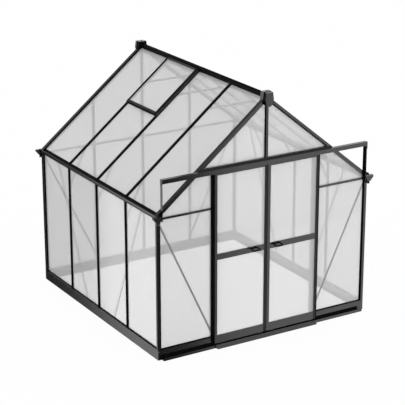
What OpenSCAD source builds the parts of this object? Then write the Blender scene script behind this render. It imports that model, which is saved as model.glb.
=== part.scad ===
// Walk-in greenhouse: aluminium frame, twin-wall polycarbonate glazing, gable roof and two sliding doors.
// Millimetres. +Z is up, the doors face -Y, and the origin is on the ground under the middle.
// Members are drawn with the front wall's plane at y = 0, and place() then centres them on the origin.

/* [Walls] */
// Distance from the ridge line to the plane of each side wall's glazing
wall_x = 1207; // [900:1:1600]
// Depth of the front bay, which carries the doors
front_bay = 626; // [450:1:900]
// Depth of each bay behind it
bay = 610; // [450:1:900]
// Number of bays from front to back
bays = 4; // [4:1:8]
// Depth of every member of the front and back wall frames
frame_d = 40; // [36:1:60]
// Thickness of the twin-wall glazing
glazing_t = 6; // [4:1:8]
// Fitting gap between the roof's sloped faces and what ends against them
slope_gap = 0.02; // [0.01:0.01:0.1]

/* [Base] */
// Height of the base channel
base_h = 105; // [60:1:160]
// Width of the base channel's flanges
base_w = 38; // [37:1:60]
// Sheet thickness of the base channel
base_t = 3; // [2:0.5:5]
// How far the base stands out from the side walls' plane
base_out = 21; // [20:1:30]

/* [Posts and rails] */
// Width of the corner posts, seen from the front
corner_w = 26; // [24:1:40]
// How far the corner posts stand out from the side walls' plane
corner_out = 19; // [12:1:20]
// Depth of the corner posts, from front to back
corner_d = 36; // [30:1:50]
// Width of the glazing posts of the side, back and gable walls
post_w = 16; // [12:1:40]
// How far the glazing posts stand out from the glazing's middle plane
post_out = 14; // [10:1:18]
// How far the glazing posts reach inside from the glazing's middle plane
post_in = 12; // [10:1:18]
// Distance from the middle of the back wall to its outer glazing posts
back_post_x = 604; // [400:1:800]
// Height of the gable walls' eave bars, at their middle
eave_bar_z = 1447; // [1300:1:1450]
// Height of the eave bars' section
eave_bar_h = 18; // [14:1:30]

/* [Roof] */
// Roof pitch in degrees
roof_pitch = 39; // [32:0.5:42]
// Height at which the roof's middle plane meets the side walls' plane
eave_z = 1481; // [1475:1:1500]
// Underside of the eave beams
eave_beam_z = 1446; // [1430:1:1455]
// How far the eave beams stand out from the side walls' plane
eave_beam_out = 21; // [20:1:26]
// Width of the roof bars
roof_bar_w = 18; // [14:1:40]
// Height of the roof bars over the glazing
roof_bar_proud = 11; // [8:1:20]
// Depth of the roof bars under the roof's middle plane
roof_bar_under = 8; // [8:1:20]
// Depth of the gable rafters, square to the slope
rafter_h = 36; // [34:1:60]
// Width of the ridge beam
ridge_w = 24; // [20:1:40]
// Height of the ridge beam's top over the line where the roof's middle planes meet
ridge_rise = 46; // [34:1:60]
// Height of the ridge beam's section
ridge_h = 90; // [82:1:120]

/* [Ridge end caps] */
// Half width of the caps at their middle
cap_half_w = 53; // [44:1:60]
// Half width of the caps at their top and bottom
cap_half_top = 43; // [24:1:44]
// Height of the caps
cap_h = 150; // [130:1:180]
// Height of the caps' top over the ridge beam
cap_rise = 20; // [15:1:50]
// How far the caps' front plates stand out from the wall frame
cap_out = 40; // [20:1:60]
// How far the caps reach back over the roof from the wall frame
cap_back = 10; // [4:1:20]
// Step between the caps' front plates and their bodies
cap_step = 5; // [2:1:8]
// How far the caps' bodies stand out in front of the wall frame
cap_front_gap = 2; // [2:1:10]
// Diameter of the knob on top of each cap
cap_nub_d = 10; // [6:1:20]
// Height of the knob
cap_nub_h = 5; // [2:1:10]

/* [Gutters] */
// Distance from the side walls' plane to the gutters' outer lip
gutter_out = 43; // [36:1:100]
// Height of the gutters' lip top over the roof's middle plane at the walls
gutter_rise = 15; // [10:1:40]
// Height of the gutters' outer lip
gutter_lip = 26; // [12:1:40]
// Sheet thickness of the gutters
gutter_t = 3; // [2:0.5:4]
// How far the gutters run past the wall frames
gutter_over = 2; // [0:1:10]
// Depth of the gutter outlets, from front to back
outlet_d = 36; // [32:1:60]
// Width of the gutter outlets at their top
outlet_w = 92; // [80:1:110]
// Height of the gutter outlets' hopper
outlet_h = 61; // [50:1:90]
// Depth of the hopper's upright rim
outlet_rim = 19; // [8:1:25]
// Diameter of the outlet spouts
spout_d = 30; // [20:1:32]
// Length of the outlet spouts
spout_l = 26; // [15:1:60]
// How far the outlets' outer edge stands out past the gutters' lip
outlet_out = 30; // [0:1:40]
// How far the outlets' top lies under the gutters' lip top
outlet_drop = 14; // [0:1:20]

/* [Doorway] */
// Half of the clear width between the door jambs
door_half = 562; // [400:1:620]
// Width of the door jambs
jamb_w = 60; // [40:1:80]
// Underside of the door header
header_z = 1800; // [1780:1:1900]
// Height of the door header
header_h = 62; // [50:1:90]
// Height of the sill between the jambs, and of the lower rail's lip
sill_h = 31; // [20:1:35]
// How far the ramp runs out in front of the lower rail
ramp_run = 35; // [20:1:80]
// Half width of the ramp
ramp_half = 595; // [400:1:700]

/* [Door rails] */
// Gap from the corner posts' inner face to the ends of both door rails
rail_inset = 13; // [0:1:14]
// How far the upper rail stands out from the wall frame
rail_out = 40; // [38:1:60]
// Height of the upper rail
rail_h = 43; // [38:1:70]
// Gap between the header's underside and the upper rail's
rail_lift = 3; // [0:1:10]
// Sheet thickness of both rails and of their supports
rail_t = 3; // [2:0.5:4]
// Depth of the ledge inside the upper rail that the rollers run on
rail_ledge = 8; // [7:1:9]
// How far the lower rail stands out from the wall frame
lower_rail_out = 42; // [38:1:60]
// Height of the end plates on the upper rail
rail_end_h = 73; // [50:1:90]
// Width of the supports' flange against the wall frame
support_w = 22; // [15:1:40]
// Lower end of the supports
support_low_z = 1430; // [1400:1:1434]

/* [Doors] */
// Distance from the wall frame's face to the leaves' front face
leaf_front = 30; // [29:1:32]
// Thickness of the leaves
leaf_t = 14; // [12:1:14]
// Reach of each leaf from the middle of the doorway
leaf_reach = 612; // [590:1:614]
// Gap between the two leaves when they are closed
leaf_gap = 5; // [5:1:10]
// Underside of the leaves
leaf_z = 46; // [42:1:60]
// Width of the outer stiles
outer_stile_w = 35; // [25:1:60]
// Width of the meeting stiles
meeting_stile_w = 31; // [25:1:60]
// Height of the leaves' bottom rail
bottom_rail_h = 82; // [50:1:120]
// Height of the middle rails' underside
mid_rail_z = 923; // [700:1:1200]
// Height of the middle rails
mid_rail_h = 60; // [40:1:90]
// Height of the top rails
top_rail_h = 38; // [34:1:44]
// How far the top rails reach up into the upper rail
top_rail_in = 19; // [18:1:22]
// Width of the weather strip behind the meeting stiles
strip_w = 32; // [20:1:40]
// Thickness of the weather strip
strip_t = 3; // [2:0.5:4]
// Width of the foot that carries the weather strip
strip_foot_w = 15; // [6:1:20]
// Distance from the meeting stile's edge to the foot
strip_edge = 2.5; // [2:0.5:8]
// Gap between the weather strip and the leaves' back
strip_gap = 5; // [5:1:6]

/* [Rollers] */
// Diameter of the rollers
roller_d = 20; // [16:1:22]
// Width of the rollers
roller_w = 6; // [4:1:6]
// Running gap between the rollers and their ledge
roller_gap = 0.3; // [0.2:0.1:0.5]
// Diameter of the rollers' axles
axle_d = 6; // [4:1:8]
// Distance from each leaf's edges to its rollers and guides
roller_inset = 70; // [40:1:150]
// Length of the guides under the leaves
guide_l = 40; // [20:1:80]
// Thickness of the guides
guide_t = 6; // [4:1:10]
// Gap between the guides and the floor of the lower rail
guide_gap = 7; // [5:1:15]

/* [Handles] */
// Length of the handles
handle_l = 84; // [60:1:120]
// How far the handles stand out from the leaves
handle_out = 62; // [40:1:80]
// Height of the handles' section
handle_h = 13; // [8:1:20]
// Thickness of the handles' arms and grip
handle_t = 7; // [5:1:12]
// Thickness of the handles' base strip
handle_base_t = 4; // [3:1:8]
// How far the handles' grip lies lower than their base strip
handle_sag = 10; // [0:1:25]
// Gap from the middle rail's top edge down to the handles
handle_drop = 10; // [4:1:20]
// Middle of the left leaf's handle, from the middle of the doorway
left_handle_x = 154; // [80:1:500]
// Middle of the right leaf's handle, from the middle of the doorway
right_handle_x = 112; // [80:1:500]

/* [Roof vent] */
// Bay that the vent lies in, counted from the front
vent_bay = 3; // [2:1:3]
// Length of the vent down the slope
vent_l = 655; // [300:1:900]
// Thickness of the vent's frame
vent_t = 18; // [10:1:24]
// Width of the vent's side bars
vent_side_w = 16; // [10:1:30]
// Width of the vent's bottom and top bars
vent_rail_w = 24; // [16:1:40]
// How far the vent's sides stay back from the middle of the roof bars
vent_inset = 6; // [2:1:12]
// Width of the fixed bar across the roof under the vent's lower edge
trimmer_w = 20; // [14:1:40]
// Gap between the vent's upper edge and the ridge beam
vent_gap = 2; // [1:1:10]

/* [Bracing] */
// Thickness of the flat brace strips
brace_t = 3; // [2:1:8]
// Height of the gable braces' ends, measured upright
brace_end_h = 43; // [30:1:60]
// Height of the gable braces' lower end
gable_brace_low = 150; // [110:1:300]
// Height of the gable braces' upper end
gable_brace_high = 1380; // [1200:1:1390]
// Distance from the end walls to the side braces' upper end
side_brace_top_y = 310; // [150:1:600]
// Distance from the end walls to the side braces' lower end
side_brace_foot_y = 920; // [700:1:1200]
// Width of the side braces, measured level
side_brace_w = 20; // [12:1:30]
// How far the side braces lap up over the eave beams
side_brace_lap = 20; // [10:1:30]
// Underside of the collar ties
collar_z = 2230; // [2100:1:2300]
// Height of the collar ties
collar_h = 18; // [12:1:30]
// Thickness of the collar ties and knee braces
knee_t = 14; // [8:1:24]
// Height of the knee braces' foot on the side posts
knee_z = 1260; // [1100:1:1300]
// Distance from the ridge line to the knee braces' top
knee_x = 1015; // [950:1:1050]
// Length of the knee braces' ends against the posts and roof bars
knee_end = 28; // [20:1:40]

/* [Hidden] */
$fn = 48;

// Colours of the three finishes
frame_colour = "#26282a";
glazing_colour = [0.86, 0.89, 0.9, 0.55];
plastic_colour = "#18191a";

// Plan
wall_depth = front_bay + (bays - 1) * bay;
post_ys = [for (i = [0 : bays - 2]) front_bay + i * bay];
face_y = -frame_d / 2;
base_x = wall_x + base_out;
base_in_x = base_x - base_w;
corner_x = wall_x + corner_out;
corner_in_x = corner_x - corner_w;
corner_back_y = face_y + corner_d;
post_in_x = wall_x - post_in;
eave_beam_x = wall_x + eave_beam_out;
jamb_out_x = door_half + jamb_w;
rail_half = corner_in_x - rail_inset;
half_g = glazing_t / 2;
// How far a cut runs past the faces it opens
cut_over = 1;

// Roof: planes set off square from the middle plane of its glazing
under_rafter_n = -rafter_h / 2 - slope_gap;
under_pane_n = -half_g - slope_gap;
slope_c = cos(roof_pitch);
slope_t = tan(roof_pitch);
bar_top_n = half_g + roof_bar_proud;
ridge_z = roof_z(0) + ridge_rise;
ridge_low_z = ridge_z - ridge_h;
ridge_x = ridge_w / 2;
cap_z = ridge_z + cap_rise;

// Gutters and their outlets
gutter_x = wall_x + gutter_out;
gutter_in_x = eave_beam_x + gutter_t;
gutter_top_z = eave_z + gutter_rise;
gutter_end_y = face_y - gutter_over;
outlet_x = gutter_x + outlet_out;
outlet_z = gutter_top_z - outlet_drop;
spout_x = eave_beam_x;

// Ridge end caps
cap_joint_y = face_y - cap_front_gap;
cap_back_y = -face_y + cap_back;

// Roof vent: the plane of its glazing, its edges along Y, and its upper edge down the slope
vent_mid_n = bar_top_n + vent_t / 2;
vent_pane = vent_bay - 1;
vent_y0 = roof_pane_y0(vent_pane) - roof_bar_w / 2 + vent_inset;
vent_y1 = roof_pane_y1(vent_pane) + roof_bar_w / 2 - vent_inset;
vent_s0 = (ridge_x + vent_gap - bar_top_n * sin(roof_pitch)) / slope_c;

// Bracing
side_brace_top_z = eave_beam_z + side_brace_lap;
eave_bar_low_z = eave_bar_z - eave_bar_h / 2;
eave_bar_top_z = eave_bar_z + eave_bar_h / 2;

// Doors and rails
header_top_z = header_z + header_h;
rail_low_z = header_z + rail_lift;
rail_top_z = rail_low_z + rail_h;
rail_y = face_y - rail_out;
lower_rail_y = face_y - lower_rail_out;
leaf_y = face_y - leaf_front;
leaf_back_y = leaf_y + leaf_t;
leaf_mid_y = leaf_y + leaf_t / 2;
leaf_in_x = leaf_gap / 2;
leaf_top_z = rail_low_z + top_rail_in;
top_rail_low_z = leaf_top_z - top_rail_h;
panel_x0 = leaf_in_x + meeting_stile_w;
panel_x1 = leaf_reach - outer_stile_w;
roller_z = rail_low_z + rail_t + roller_gap + roller_d / 2;
ledge_y = face_y - rail_t - rail_ledge;
mid_rail_top_z = mid_rail_z + mid_rail_h;
handle_z = mid_rail_top_z - handle_drop - handle_h;
panel_low_z = leaf_z + bottom_rail_h;
roller_y = ledge_y + rail_ledge / 2;
strip_x = leaf_in_x + strip_edge;
strip_in_x = strip_x + strip_foot_w;
strip_y = leaf_back_y + strip_gap;

// Reach of the whole greenhouse in front of and behind the walls' planes
front_reach = max(-lower_rail_y + ramp_run, -leaf_y + handle_out, -face_y + cap_out);
back_reach = max(-face_y + cap_out, -face_y + gutter_over + outlet_d);
shift_y = (front_reach - wall_depth - back_reach) / 2;

function roof_z(x) = eave_z + (wall_x - abs(x)) * slope_t;
function slope_z(x, n) = roof_z(x) + n / slope_c;
// Distance from the ridge line at which the plane set off by n reaches height z
function slope_x(z, n) = wall_x - (z - eave_z - n / slope_c) / slope_t;

module place() translate([0, shift_y, 0]) children();
module both_sides() { children(); mirror([1, 0, 0]) children(); }
module at_back() translate([0, wall_depth, 0]) mirror([0, 1, 0]) children();
module both_ends() { children(); at_back() children(); }
// Extrude an outline of (x, z) points along Y, or of (y, z) points along X
module along_y(y0, y1) translate([0, y1, 0]) rotate([90, 0, 0]) linear_extrude(y1 - y0) children();
module along_x(x0, x1) translate([x0, 0, 0]) rotate([90, 0, 90]) linear_extrude(x1 - x0) children();
module block(x0, x1, y0, y1, z0, z1) translate([x0, y0, z0]) cube([x1 - x0, y1 - y0, z1 - z0]);
// Outline of a roof member between two distances from the ridge line and two planes set off from the middle
module slope_band(x0, x1, n0, n1) polygon([
    [x0, slope_z(x0, n0)], [x1, slope_z(x1, n0)], [x1, slope_z(x1, n1)], [x0, slope_z(x0, n1)]
]);
// The same with ends square to the slope, s being the distance down the slope from the ridge line
module slope_box(s0, s1, n0, n1) translate([0, roof_z(0)]) rotate(-roof_pitch)
    translate([s0, n0]) square([s1 - s0, n1 - n0]);
// Outline of a C channel, open to +y
module base_channel() difference() {
    square([base_w, base_h]);
    translate([base_t, base_t]) square([base_w - base_t + cut_over, base_h - 2 * base_t]);
}

// ---- Base ----
// Plate that closes the outer end of an end wall's channel
module base_end() block(base_x - base_t, base_x, face_y, face_y + base_w, 0, base_h);
module base_front() color(frame_colour) place() both_sides() {
    along_x(door_half, base_x) translate([face_y, 0]) base_channel();
    base_end();
}
module base_back() color(frame_colour) place() at_back() {
    along_x(-base_x, base_x) translate([face_y, 0]) base_channel();
    both_sides() base_end();
}
module base_sides() color(frame_colour) place() both_sides()
    along_y(face_y + base_w, wall_depth - face_y - base_w)
    translate([base_x, 0]) mirror([1, 0]) base_channel();

// ---- Posts and rails of the walls ----
module corner_posts() color(frame_colour) place() both_ends() both_sides()
    along_y(face_y, corner_back_y) polygon([
        [corner_in_x, base_h], [corner_x, base_h],
        [corner_x, slope_z(corner_x, under_rafter_n)], [corner_in_x, slope_z(corner_in_x, under_rafter_n)]
    ]);
module side_wall_posts() color(frame_colour) place() both_sides() for (y = post_ys)
    block(post_in_x, wall_x + post_out, y - post_w / 2, y + post_w / 2, base_h, eave_beam_z);
// Glazing post of an end wall, from height z0 up to the rafters' underside or the ridge beam
module end_post(x, z0, out) along_y(-out, post_in) polygon([
    [x - post_w / 2, z0], [x + post_w / 2, z0],
    [x + post_w / 2, end_post_top(x, x + post_w / 2)], [x - post_w / 2, end_post_top(x, x - post_w / 2)]
]);
function end_post_top(x, edge_x) = x == 0 ? ridge_low_z : slope_z(edge_x, under_rafter_n);
module back_wall_posts() color(frame_colour) place() at_back() {
    end_post(0, base_h, post_out);
    both_sides() end_post(back_post_x, base_h, post_out);
}
module gable_post() color(frame_colour) place() end_post(0, header_top_z, -face_y);
module door_jambs() color(frame_colour) place() both_sides()
    block(door_half, jamb_out_x, face_y, -face_y, base_h, header_z);
module door_header() color(frame_colour) place() along_y(face_y, -face_y) polygon([
    for (s = [-1, 1]) [s * slope_x(header_z, under_rafter_n), header_z],
    for (s = [1, -1]) [s * slope_x(header_top_z, under_rafter_n), header_top_z]
]);
// Eave bar of an end wall between two distances from the middle
module eave_bar(x0, x1) block(x0, x1, face_y, half_g, eave_bar_low_z, eave_bar_top_z);
module front_eave_bars() color(frame_colour) place() both_sides() eave_bar(jamb_out_x, corner_in_x);
module back_eave_bars() color(frame_colour) place() at_back() both_sides() {
    eave_bar(post_w / 2, back_post_x - post_w / 2);
    eave_bar(back_post_x + post_w / 2, corner_in_x);
}
module eave_beams() color(frame_colour) place() both_sides()
    along_y(-face_y, wall_depth + face_y) polygon([
        [post_in_x, eave_beam_z], [eave_beam_x, eave_beam_z],
        [eave_beam_x, slope_z(eave_beam_x, under_pane_n)], [post_in_x, slope_z(post_in_x, under_pane_n)]
    ]);

// ---- Gutters ----
module gutter_trough() polygon([
    [eave_beam_x, eave_beam_z], [gutter_x, gutter_top_z - gutter_lip],
    [gutter_x, gutter_top_z], [gutter_x - gutter_t, gutter_top_z],
    [gutter_x - gutter_t, gutter_top_z - gutter_lip + gutter_t],
    [gutter_in_x, eave_beam_z + 2 * gutter_t],
    [gutter_in_x, slope_z(gutter_in_x, half_g)], [eave_beam_x, slope_z(eave_beam_x, half_g)]
]);
// The trough runs the whole length, and its cover strip holds the roof glazing down between the rafters
module gutters() color(frame_colour) place() both_sides() {
    along_y(gutter_end_y, wall_depth - gutter_end_y) gutter_trough();
    along_y(-face_y, wall_depth + face_y) slope_band(post_in_x, gutter_in_x, half_g, half_g + gutter_t);
}
module gutter_outlets() color(plastic_colour) place() both_ends() both_sides() {
    along_y(gutter_end_y - outlet_d, gutter_end_y) polygon([
        [outlet_x - outlet_w, outlet_z], [outlet_x, outlet_z], [outlet_x, outlet_z - outlet_rim],
        [spout_x + spout_d / 2, outlet_z - outlet_h], [spout_x - spout_d / 2, outlet_z - outlet_h],
        [outlet_x - outlet_w, outlet_z - outlet_rim]
    ]);
    translate([spout_x, gutter_end_y - outlet_d / 2, outlet_z - outlet_h - spout_l])
        cylinder(d = spout_d, h = spout_l);
}

// ---- Roof frame ----
module gable_rafters() color(frame_colour) place() both_ends() both_sides()
    along_y(face_y, -face_y) slope_band(ridge_x, corner_x, -rafter_h / 2, rafter_h / 2);
module roof_bars() for (y = post_ys)
    along_y(y - roof_bar_w / 2, y + roof_bar_w / 2)
        slope_band(ridge_x, post_in_x, -roof_bar_under, bar_top_n);
module left_roof_bars() color(frame_colour) place() mirror([1, 0, 0]) roof_bars();
module right_roof_bars() color(frame_colour) place() roof_bars();
module ridge_outline() {
    translate([-ridge_x, ridge_low_z]) square([ridge_w, ridge_h - ridge_x]);
    translate([0, ridge_z - ridge_x]) circle(r = ridge_x);
}
module ridge_beam() color(frame_colour) place() along_y(face_y, wall_depth - face_y) ridge_outline();

// ---- Ridge end caps ----
module cap_outline(step) {
    low_z = cap_z - cap_h;
    translate([0, low_z + cap_half_top]) circle(r = cap_half_top - step);
    polygon([
        for (s = [-1, 1]) [s * (cap_half_top - step), low_z + cap_half_top],
        [cap_half_w - step, cap_z - cap_h / 2], [cap_half_top - step, cap_z - step],
        [step - cap_half_top, cap_z - step], [step - cap_half_w, cap_z - cap_h / 2]
    ]);
}
// What the caps' bodies sit over: the rafters and the ridge beam
module under_cap() {
    side_x = cap_half_w + cap_step;
    polygon([
        [-side_x, ridge_low_z - cap_h], [side_x, ridge_low_z - cap_h],
        [side_x, slope_z(side_x, rafter_h / 2)], [0, slope_z(0, rafter_h / 2)],
        [-side_x, slope_z(side_x, rafter_h / 2)]
    ]);
    ridge_outline();
}
module ridge_end_caps() color(plastic_colour) place() both_ends() {
    along_y(face_y - cap_out, cap_joint_y) cap_outline(cap_step);
    difference() {
        along_y(cap_joint_y, cap_back_y) cap_outline(0);
        along_y(face_y, cap_back_y + cut_over) under_cap();
    }
    translate([0, 0, cap_z]) cylinder(d = cap_nub_d, h = cap_nub_h);
}

// ---- Bracing ----
module collar_ties() color(frame_colour) place() for (y = post_ys)
    along_y(y - knee_t / 2, y + knee_t / 2) polygon([
        for (s = [-1, 1]) [s * slope_x(collar_z, -roof_bar_under), collar_z],
        for (s = [1, -1]) [s * slope_x(collar_z + collar_h, -roof_bar_under), collar_z + collar_h]
    ]);
module knee_braces() color(frame_colour) place() both_sides() for (y = post_ys)
    along_y(y - knee_t / 2, y + knee_t / 2) polygon([
        [post_in_x, knee_z], [post_in_x, knee_z + knee_end],
        [knee_x + knee_end, slope_z(knee_x + knee_end, -roof_bar_under)],
        [knee_x, slope_z(knee_x, -roof_bar_under)]
    ]);
// Flat strip from a post near the middle of an end wall up to the corner post
module gable_brace(post_x) along_y(half_g, half_g + brace_t) polygon([
    [post_x, gable_brace_low], [corner_in_x, gable_brace_high],
    [corner_in_x, gable_brace_high + brace_end_h], [post_x, gable_brace_low + brace_end_h]
]);
module gable_braces() color(frame_colour) place() both_sides() {
    gable_brace(jamb_out_x);
    at_back() gable_brace(back_post_x + post_w / 2);
}
module side_wall_braces() color(frame_colour) place() both_ends() both_sides()
    along_x(post_in_x - brace_t, post_in_x) polygon([
        [side_brace_top_y, side_brace_top_z], [side_brace_foot_y, base_h],
        [side_brace_foot_y + side_brace_w, base_h], [side_brace_top_y + side_brace_w, side_brace_top_z]
    ]);

// ---- Door rails and threshold ----
module upper_door_rail() color(frame_colour) place() {
    along_x(-rail_half, rail_half) polygon([
        [face_y, rail_low_z], [face_y, rail_top_z], [rail_y, rail_top_z], [rail_y, rail_low_z],
        [rail_y + rail_t, rail_low_z], [rail_y + rail_t, rail_top_z - rail_t],
        [face_y - rail_t, rail_top_z - rail_t], [face_y - rail_t, rail_low_z + rail_t],
        [ledge_y, rail_low_z + rail_t], [ledge_y, rail_low_z]
    ]);
    both_sides()
        block(rail_half, rail_half + rail_t, rail_y, face_y, rail_top_z - rail_end_h, rail_top_z);
}
module rail_supports() color(frame_colour) place() both_sides() {
    block(rail_half - rail_t, rail_half, rail_y + rail_t, face_y, support_low_z, rail_low_z);
    block(rail_half - support_w, rail_half - rail_t, face_y - rail_t, face_y, support_low_z, rail_low_z);
}
module lower_door_rail() color(frame_colour) place()
    along_x(-rail_half, rail_half) difference() {
        translate([lower_rail_y, 0]) square([lower_rail_out, sill_h]);
        translate([lower_rail_y + rail_t, rail_t]) square([lower_rail_out - 2 * rail_t, sill_h]);
    }
module door_threshold() color(frame_colour) place() {
    block(-door_half, door_half, face_y, face_y + base_w, 0, sill_h);
    along_x(-ramp_half, ramp_half)
        polygon([[lower_rail_y - ramp_run, 0], [lower_rail_y, 0], [lower_rail_y, sill_h]]);
}

// ---- Roof vent, on the left slope ----
module vent_bar(y0, y1, s0, s1) mirror([1, 0, 0])
    along_y(y0, y1) slope_box(s0, s1, bar_top_n, bar_top_n + vent_t);
module vent_side_bars() color(frame_colour) place() {
    vent_bar(vent_y0, vent_y0 + vent_side_w, vent_s0, vent_l);
    vent_bar(vent_y1 - vent_side_w, vent_y1, vent_s0, vent_l);
}
module vent_cross_bars() color(frame_colour) place() for (s = [vent_s0, vent_l - vent_rail_w])
    vent_bar(vent_y0 + vent_side_w, vent_y1 - vent_side_w, s, s + vent_rail_w);
module vent_trimmer() color(frame_colour) place() mirror([1, 0, 0])
    along_y(roof_pane_y0(vent_pane), roof_pane_y1(vent_pane))
        slope_box(vent_l - trimmer_w, vent_l, -roof_bar_under, bar_top_n);
module vent_panel() color(glazing_colour) place() mirror([1, 0, 0])
    along_y(vent_y0 + vent_side_w, vent_y1 - vent_side_w)
        slope_box(vent_s0 + vent_rail_w, vent_l - vent_rail_w, vent_mid_n - half_g, vent_mid_n + half_g);

// ---- Glazing ----
function wall_pane_y0(i) = i == 0 ? corner_back_y : post_ys[i - 1] + post_w / 2;
function wall_pane_y1(i) = i == bays - 1 ? wall_depth - corner_back_y : post_ys[i] - post_w / 2;
function roof_pane_y0(i) = i == 0 ? -face_y : post_ys[i - 1] + roof_bar_w / 2;
function roof_pane_y1(i) = i == bays - 1 ? wall_depth + face_y : post_ys[i] - roof_bar_w / 2;
module side_wall_panels() for (i = [0 : bays - 1])
    block(wall_x - half_g, wall_x + half_g, wall_pane_y0(i), wall_pane_y1(i), base_h, eave_beam_z);
module left_wall_panels() color(glazing_colour) place() mirror([1, 0, 0]) side_wall_panels();
module right_wall_panels() color(glazing_colour) place() side_wall_panels();
// Outline of an end wall's pane from height z0 up to the rafters' underside
module gable_pane(x0, x1, z0) polygon([
    [x0, z0], [x1, z0], [x1, slope_z(x1, under_rafter_n)], [x0, slope_z(x0, under_rafter_n)]
]);
module low_pane(x0, x1) translate([x0, base_h]) square([x1 - x0, eave_bar_low_z - base_h]);
module front_wall_panels() color(glazing_colour) place() both_sides() along_y(-half_g, half_g) {
    low_pane(jamb_out_x, corner_in_x);
    difference() {
        gable_pane(jamb_out_x, corner_in_x, eave_bar_top_z);
        translate([0, header_z]) square([wall_x, header_h + ridge_h + header_z]);
    }
    difference() {
        polygon([
            [post_w / 2, header_top_z], [slope_x(header_top_z, under_rafter_n), header_top_z],
            [post_w / 2, slope_z(post_w / 2, under_rafter_n)]
        ]);
        ridge_outline();
    }
}
module back_wall_panels() color(glazing_colour) place() at_back() both_sides() along_y(-half_g, half_g)
    for (x = [[post_w / 2, back_post_x - post_w / 2], [back_post_x + post_w / 2, corner_in_x]]) {
        low_pane(x[0], x[1]);
        difference() {
            gable_pane(x[0], x[1], eave_bar_top_z);
            ridge_outline();
        }
    }
// The pane under the roof vent is cut back to the trimmer
module left_roof_panels() color(glazing_colour) place() mirror([1, 0, 0]) for (i = [0 : bays - 1])
    along_y(roof_pane_y0(i), roof_pane_y1(i)) difference() {
        slope_band(ridge_x, eave_beam_x, -half_g, half_g);
        if (i == vent_pane) slope_box(-ridge_w, vent_l, -glazing_t, glazing_t);
    }
module right_roof_panels() color(glazing_colour) place() for (i = [0 : bays - 1])
    along_y(roof_pane_y0(i), roof_pane_y1(i)) slope_band(ridge_x, eave_beam_x, -half_g, half_g);

// ---- Door leaves, drawn for the right-hand leaf ----
module leaf_stiles() color(frame_colour) {
    block(leaf_in_x, panel_x0, leaf_y, leaf_back_y, leaf_z, leaf_top_z);
    block(panel_x1, leaf_reach, leaf_y, leaf_back_y, leaf_z, leaf_top_z);
}
module leaf_rails() color(frame_colour)
    for (z = [[leaf_z, panel_low_z], [mid_rail_z, mid_rail_top_z], [top_rail_low_z, leaf_top_z]])
        block(panel_x0, panel_x1, leaf_y, leaf_back_y, z[0], z[1]);
module leaf_panels() color(glazing_colour)
    for (z = [[panel_low_z, mid_rail_z], [mid_rail_top_z, top_rail_low_z]])
        block(panel_x0, panel_x1, leaf_mid_y - half_g, leaf_mid_y + half_g, z[0], z[1]);
module leaf_runners() color(plastic_colour)
    for (x = [leaf_in_x + roller_inset, leaf_reach - roller_inset]) {
        along_y(roller_y - roller_w / 2, roller_y + roller_w / 2)
            translate([x, roller_z]) circle(d = roller_d);
        along_y(leaf_back_y, roller_y) translate([x, roller_z]) circle(d = axle_d);
        block(
            x - guide_l / 2, x + guide_l / 2, leaf_mid_y - guide_t / 2, leaf_mid_y + guide_t / 2,
            rail_t + guide_gap, leaf_z
        );
    }
// A horizontal pull: a base strip on the leaf, two arms and a grip, with its middle at x
module leaf_handle(x) color(plastic_colour) place() {
    difference() {
        along_x(x - handle_l / 2, x + handle_l / 2) polygon([
            [leaf_y, handle_z], [leaf_y, handle_z + handle_h],
            [leaf_y - handle_out, handle_z + handle_h - handle_sag],
            [leaf_y - handle_out, handle_z - handle_sag]
        ]);
        block(
            x - handle_l / 2 + handle_t, x + handle_l / 2 - handle_t, leaf_y - handle_out + handle_t,
            leaf_y - handle_base_t, handle_z - handle_sag - cut_over, handle_z + handle_h + cut_over
        );
    }
}
module left_leaf() place() mirror([1, 0, 0]) children();
module left_door_stiles() left_leaf() leaf_stiles();
module left_door_rails() left_leaf() leaf_rails();
module left_door_panels() left_leaf() leaf_panels();
module left_door_handle() leaf_handle(-left_handle_x);
module left_door_runners() left_leaf() leaf_runners();
// Weather strip behind the left leaf's meeting stile, reaching behind the right leaf's
module left_door_strip() color(plastic_colour) left_leaf() {
    block(strip_x, strip_in_x, leaf_back_y, strip_y, leaf_z, top_rail_low_z);
    block(strip_in_x - strip_w, strip_in_x, strip_y, strip_y + strip_t, leaf_z, top_rail_low_z);
}
module right_door_stiles() place() leaf_stiles();
module right_door_rails() place() leaf_rails();
module right_door_panels() place() leaf_panels();
module right_door_handle() leaf_handle(right_handle_x);
module right_door_runners() place() leaf_runners();

base_front();
base_back();
base_sides();
corner_posts();
side_wall_posts();
back_wall_posts();
door_jambs();
door_header();
gable_post();
front_eave_bars();
back_eave_bars();
eave_beams();
gutters();
gutter_outlets();
gable_rafters();
left_roof_bars();
right_roof_bars();
ridge_beam();
ridge_end_caps();
collar_ties();
knee_braces();
gable_braces();
side_wall_braces();
upper_door_rail();
rail_supports();
lower_door_rail();
door_threshold();
vent_side_bars();
vent_cross_bars();
vent_trimmer();
vent_panel();
left_wall_panels();
right_wall_panels();
front_wall_panels();
back_wall_panels();
left_roof_panels();
right_roof_panels();
left_door_stiles();
left_door_rails();
left_door_panels();
left_door_handle();
left_door_runners();
left_door_strip();
right_door_stiles();
right_door_rails();
right_door_panels();
right_door_handle();
right_door_runners();
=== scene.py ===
"""Polycarbonate greenhouse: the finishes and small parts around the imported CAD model, with its studio."""

import math

import bmesh
import bpy
from mathutils import Matrix, Vector


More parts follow.
